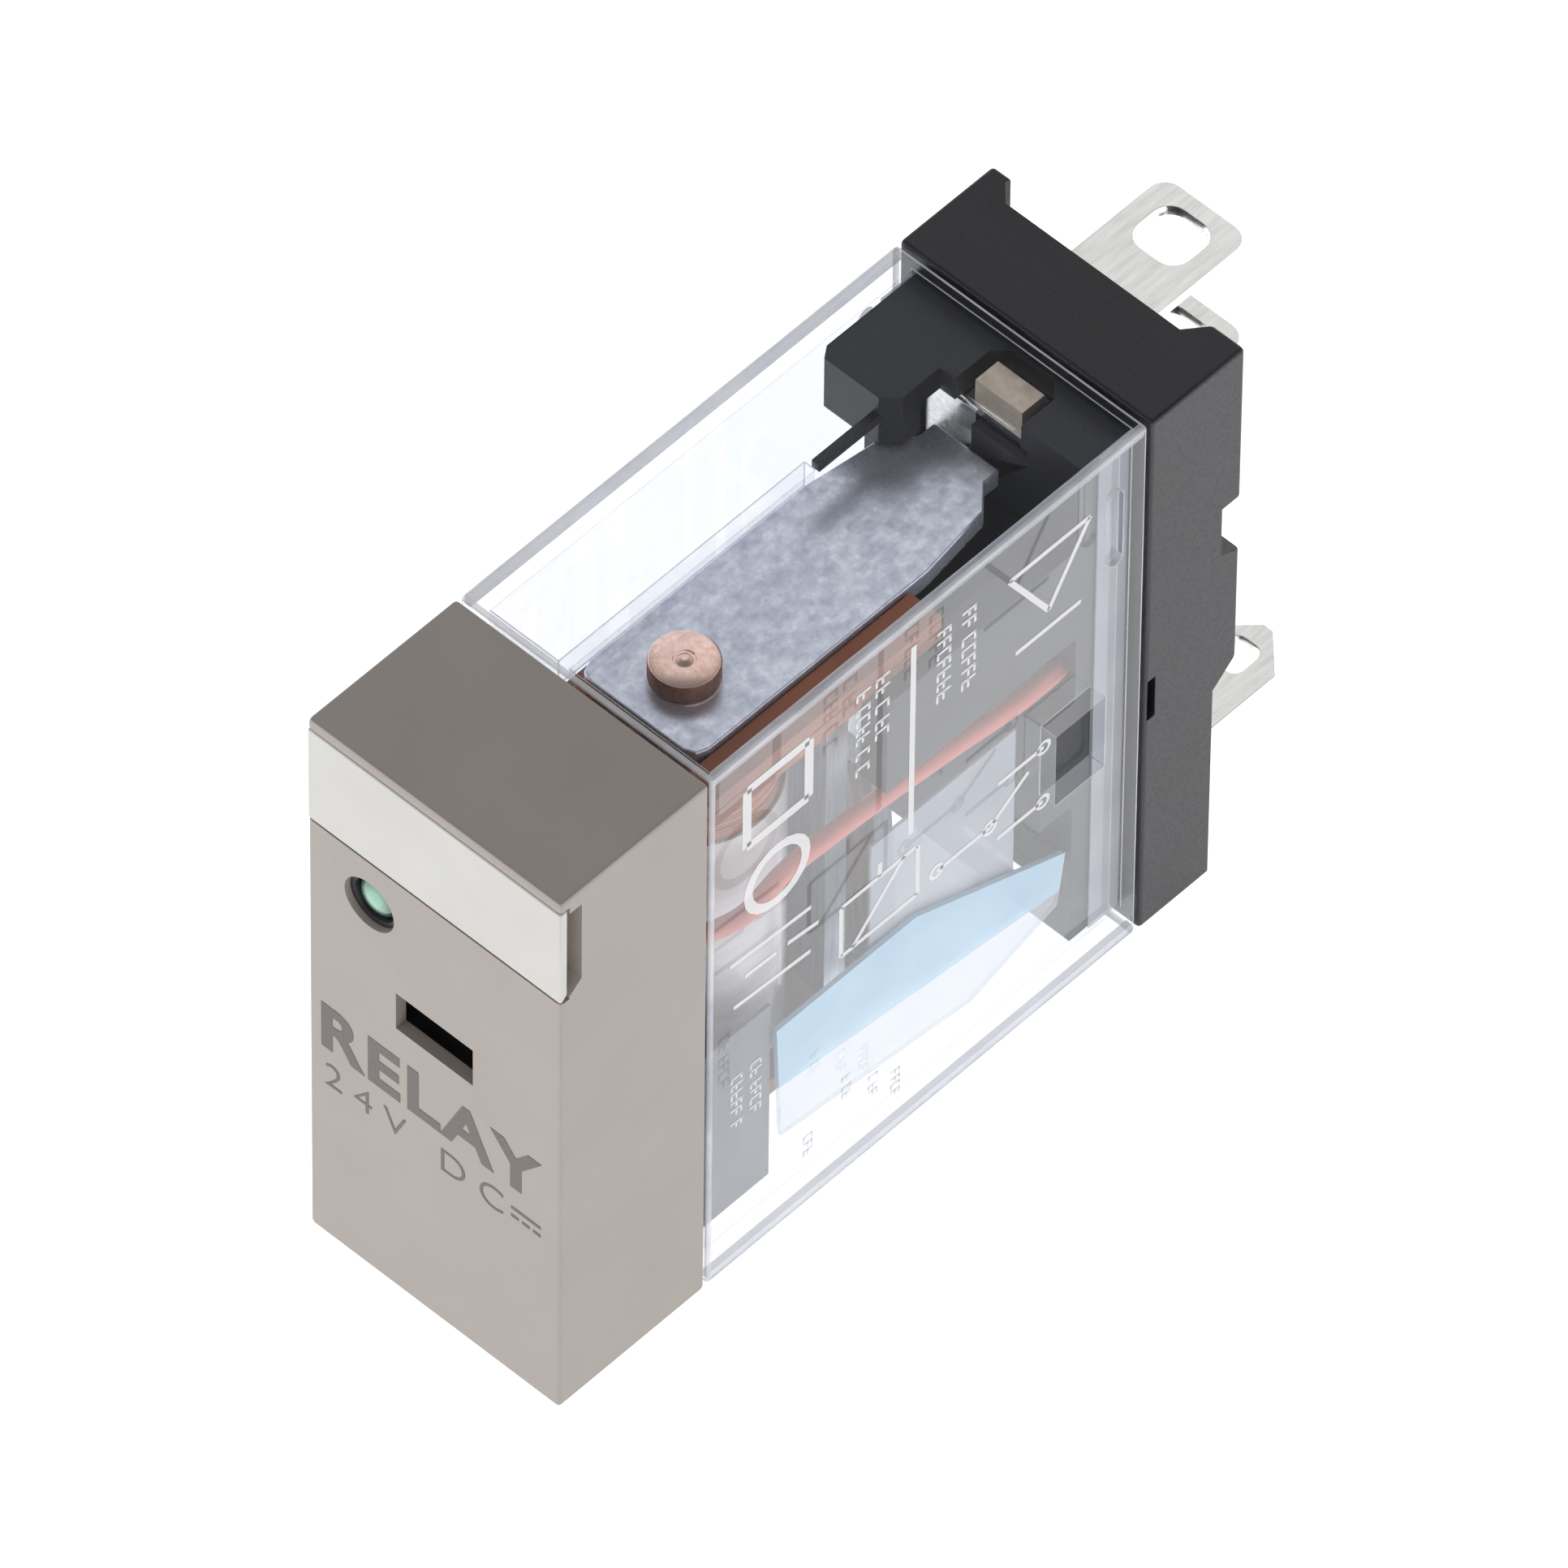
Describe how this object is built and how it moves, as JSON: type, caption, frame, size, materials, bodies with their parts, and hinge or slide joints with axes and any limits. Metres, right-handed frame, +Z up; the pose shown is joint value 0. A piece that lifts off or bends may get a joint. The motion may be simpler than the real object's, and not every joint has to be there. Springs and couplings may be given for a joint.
{
  "type": "industrial control relay",
  "caption": "Slim plug-in power relay with a grey front cap, status LED and indicator window, clear case, black base and flat plug blades.",
  "frame": {"origin": "centre of the bounding box in plan, on the narrow face that the relay stands on", "axes": "-Y out of the front cap, +Y along the plug blades, +Z up the tall side, X across the narrow width"},
  "size_m": [0.0124, 0.0408, 0.0288],
  "materials": {
    "front_cap": "fine matt moulded grey ABS",
    "nameplate": "smooth matt white, made to be written on",
    "clear_case": "clear polycarbonate, glossy inside and out",
    "base": "black PBT, slightly grained",
    "contact_terminals": "bright tin plate over copper alloy",
    "yoke": "zinc plated steel with rolling marks",
    "core": "copper flashed iron, pinkish",
    "winding": "red brown enamelled copper wire",
    "bobbin": "brown phenolic moulding",
    "insulation": "pale blue film, translucent",
    "tape": "pale polyester tape",
    "board": "solder resist over glass epoxy",
    "led": "tinted epoxy lamp body",
    "resistor": "beige resistor coating",
    "diode": "black epoxy",
    "red_sleeve": "red PVC sleeve",
    "card": "natural nylon",
    "flag": "olive moulded indicator",
    "bronze": "spring tempered phosphor bronze",
    "silver": "silver alloy contact"
  },
  "bodies": {
    "housing": {"base": "base", "bobbin": "bobbin", "clear_case": "clear_case", "coil_pin_a": "contact_terminals", "coil_pin_b": "contact_terminals", "coil_tape": "tape", "coil_terminal_a": "contact_terminals", "coil_terminal_b": "contact_terminals", "coil_wire_a": "winding", "coil_wire_b": "winding", "com_terminal": "contact_terminals", "core": "core", "front_cap": "front_cap", "insulation_sheet": "insulation", "lamp_lead_black": "diode", "lamp_lead_red": "red_sleeve", "led": "led", "led_board": "board", "nameplate": "nameplate", "nc_contact": "silver", "nc_terminal": "contact_terminals", "no_contact": "silver", "no_terminal": "contact_terminals", "resistor": "resistor", "return_spring": "bronze", "spring_rivet": "core", "suppression_diode": "diode", "winding": "winding", "yoke_leg": "yoke", "yoke_plate": "yoke"},
    "armature": {"armature": "yoke"},
    "card": {"actuator_card": "card"},
    "contact_leaf": {"moving_spring": "bronze", "moving_contact": "silver"},
    "indicator": {"indicator_flag": "flag"}
  },
  "joints": [
    {"name": "armature_pull", "type": "hinge", "parent": "housing", "child": "armature", "pos_m": [0, -0.0015, 0.0037], "axis": [-1, 0, 0], "range_deg": [0, 3], "stiffness_Nm_per_rad": 0.02, "springref_deg": -2.86},
    {"name": "card_push", "type": "slide", "parent": "housing", "child": "card", "axis": [0, 1, 0], "range_m": [0, 0.000575]},
    {"name": "contact_swing", "type": "hinge", "parent": "housing", "child": "contact_leaf", "pos_m": [0, 0.00428, 0.0203], "axis": [1, 0, 0], "range_deg": [0, 5.76]},
    {"name": "indicator_rise", "type": "slide", "parent": "housing", "child": "indicator", "axis": [0, 0, 1], "range_m": [0, 0.000623]}
  ],
  "couplings": [
    {"joint": "card_push", "follows": "armature_pull", "m_per_rad": 0.010895},
    {"joint": "contact_swing", "follows": "armature_pull", "ratio": 1.9146},
    {"joint": "indicator_rise", "follows": "armature_pull", "m_per_rad": 0.011795}
  ]
}
